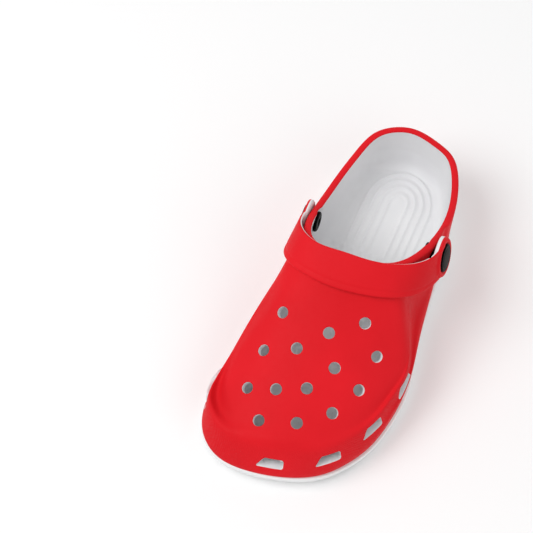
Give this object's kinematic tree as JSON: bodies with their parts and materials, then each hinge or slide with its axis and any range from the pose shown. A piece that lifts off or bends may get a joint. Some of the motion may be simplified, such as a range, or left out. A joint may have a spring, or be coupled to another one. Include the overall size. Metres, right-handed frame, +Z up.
{
  "type": "rubber garden clog",
  "caption": "Slip-on foam garden clog for a left foot, with a vented roomy toe, a ribbed sole and a heel strap that swings on two round rivets.",
  "frame": {"origin": "middle of the outline seen from above, on the ground under the tread", "axes": "+Z up, +Y from the toe towards the heel, +X towards the outer side of the left foot"},
  "size_m": [0.129, 0.282, 0.1009],
  "materials": {
    "upper_foam": "matt closed-cell foam, red outside",
    "sole_foam": "matt closed-cell foam, white",
    "strap_foam": "matt closed-cell foam, red outside",
    "rivet_plastic": "polished black"
  },
  "bodies": {
    "shoe": {"clog_upper": "upper_foam", "sole_unit": "sole_foam"},
    "strap": {"heel_strap": "strap_foam", "rivet_stud_outer": "rivet_plastic", "rivet_socket_outer": "rivet_plastic", "rivet_stud_inner": "rivet_plastic", "rivet_socket_inner": "rivet_plastic"}
  },
  "joints": [
    {"name": "strap_swing", "type": "hinge", "parent": "shoe", "child": "strap", "pos_m": [0.00266, 0.04031, 0.07055], "axis": [-0.9963, -0.0633, -0.058], "range_deg": [0, 118]}
  ]
}
